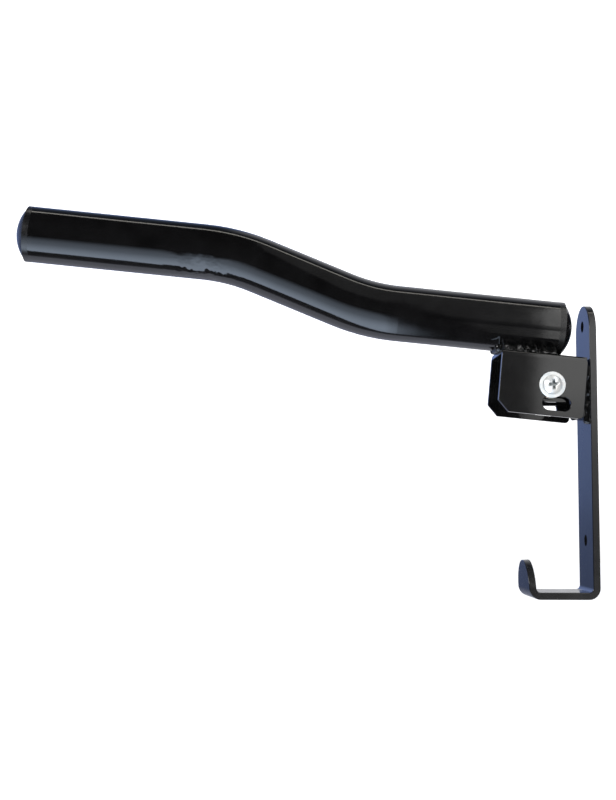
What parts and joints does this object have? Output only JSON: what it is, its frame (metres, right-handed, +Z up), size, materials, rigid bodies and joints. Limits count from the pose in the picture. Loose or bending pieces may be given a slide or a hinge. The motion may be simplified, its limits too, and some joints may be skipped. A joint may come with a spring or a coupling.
{
  "type": "bicycle wall rack",
  "caption": "Wall rack for a bicycle: a flat wall bar with a J hook at its foot, and a bent round support arm that folds down on a bracket's pivot bolt.",
  "frame": {"origin": "on the wall plane (the back face of the wall bar), midway between the two wall-screw holes", "axes": "-Y points out of the wall along the arm's direction, +Z is up along the bar, X runs sideways along the pivot bolt, with the bolt head on the +X side"},
  "size_m": [0.0645, 0.4128, 0.2783],
  "materials": {
    "bar_paint": "satin black powder coat",
    "bracket_paint": "satin black powder coat",
    "weld_paint": "glossy black over rippled weld",
    "tube_paint": "glossy black powder coat",
    "cap_plastic": "satin moulded plastic",
    "zinc": "bright zinc plating",
    "nylon": "plain moulded nylon"
  },
  "bodies": {
    "wall_side": {"wall_bar": "bar_paint", "pivot_bracket": "bracket_paint", "bracket_weld_left": "weld_paint", "bracket_weld_right": "weld_paint", "spacer_sleeve": "zinc", "friction_washer_left": "nylon", "friction_washer_right": "nylon"},
    "arm": {"arm_channel": "bracket_paint", "arm_tube": "tube_paint", "tube_weld_left": "weld_paint", "tube_weld_right": "weld_paint", "tube_weld_front": "weld_paint", "front_end_cap": "cap_plastic", "rear_end_cap": "cap_plastic", "pivot_bolt": "zinc", "bolt_washer": "zinc", "nut_washer": "zinc", "lock_nut": "zinc", "lock_nut_insert": "nylon"}
  },
  "joints": [
    {"name": "arm_fold", "type": "hinge", "parent": "wall_side", "child": "arm", "pos_m": [0, -0.0325, 0.032], "axis": [1, 0, 0], "range_deg": [-2, 95]}
  ]
}
